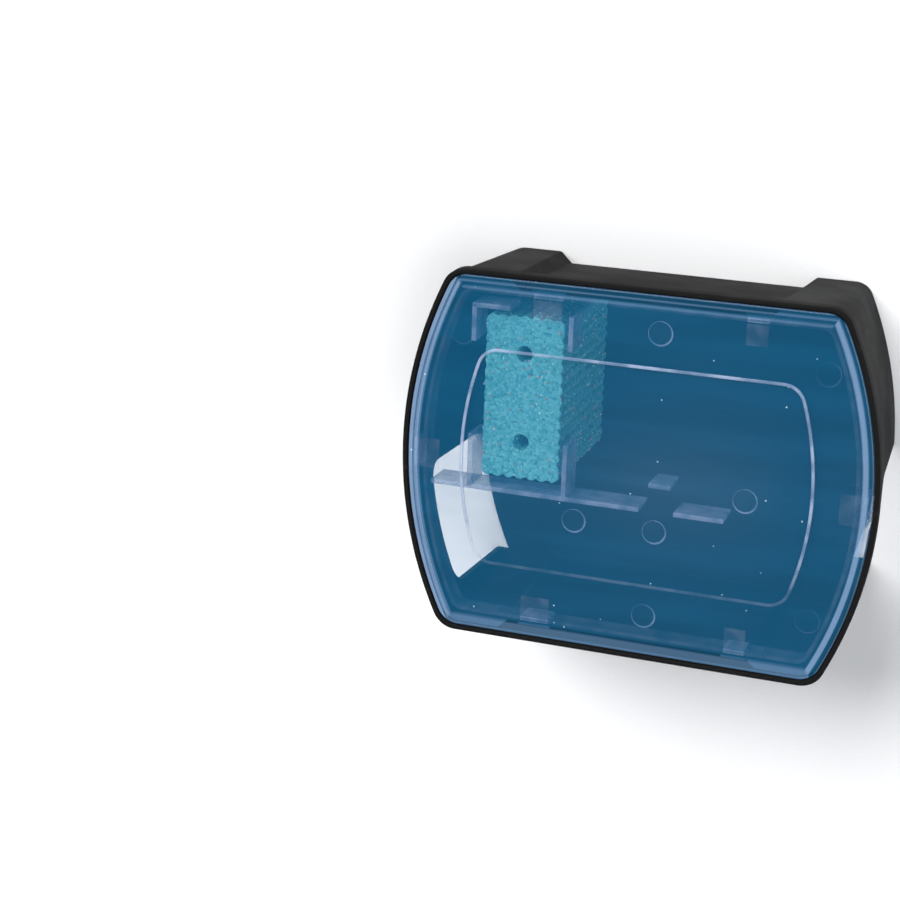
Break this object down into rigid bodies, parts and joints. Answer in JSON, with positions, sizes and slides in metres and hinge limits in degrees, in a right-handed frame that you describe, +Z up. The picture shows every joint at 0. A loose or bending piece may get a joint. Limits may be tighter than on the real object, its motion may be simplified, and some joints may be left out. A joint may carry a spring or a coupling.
{
  "type": "rodent bait station",
  "caption": "Low tray with bowed ends, a clear clip-on lid with hanging ribs, end entrances for a runway, and a drilled bait block.",
  "frame": {"origin": "middle of the tray's underside, on the surface that the station rests on", "axes": "+Z up through the lid, +X along the length between the two entrances, +Y across the width towards the bait block's side"},
  "size_m": [0.172, 0.136, 0.066],
  "materials": {
    "black_plastic": "moulded satin",
    "clear_plastic": "hazy clear",
    "bait_wax": "rough, speckled with grain"
  },
  "bodies": {
    "tray": {"base_tray": "black_plastic"},
    "lid": {"lid": "clear_plastic"},
    "bait": {"bait_block": "bait_wax"}
  },
  "joints": [
    {"name": "lid_lift", "type": "slide", "parent": "tray", "child": "lid", "axis": [0, 0, 1], "range_m": [0, 0.14]},
    {"name": "bait_lift", "type": "slide", "parent": "tray", "child": "bait", "axis": [0, 0, 1], "range_m": [0, 0.07]}
  ],
  "couplings": [
    {"joint": "bait_lift", "follows": "lid_lift", "ratio": 0.5}
  ]
}
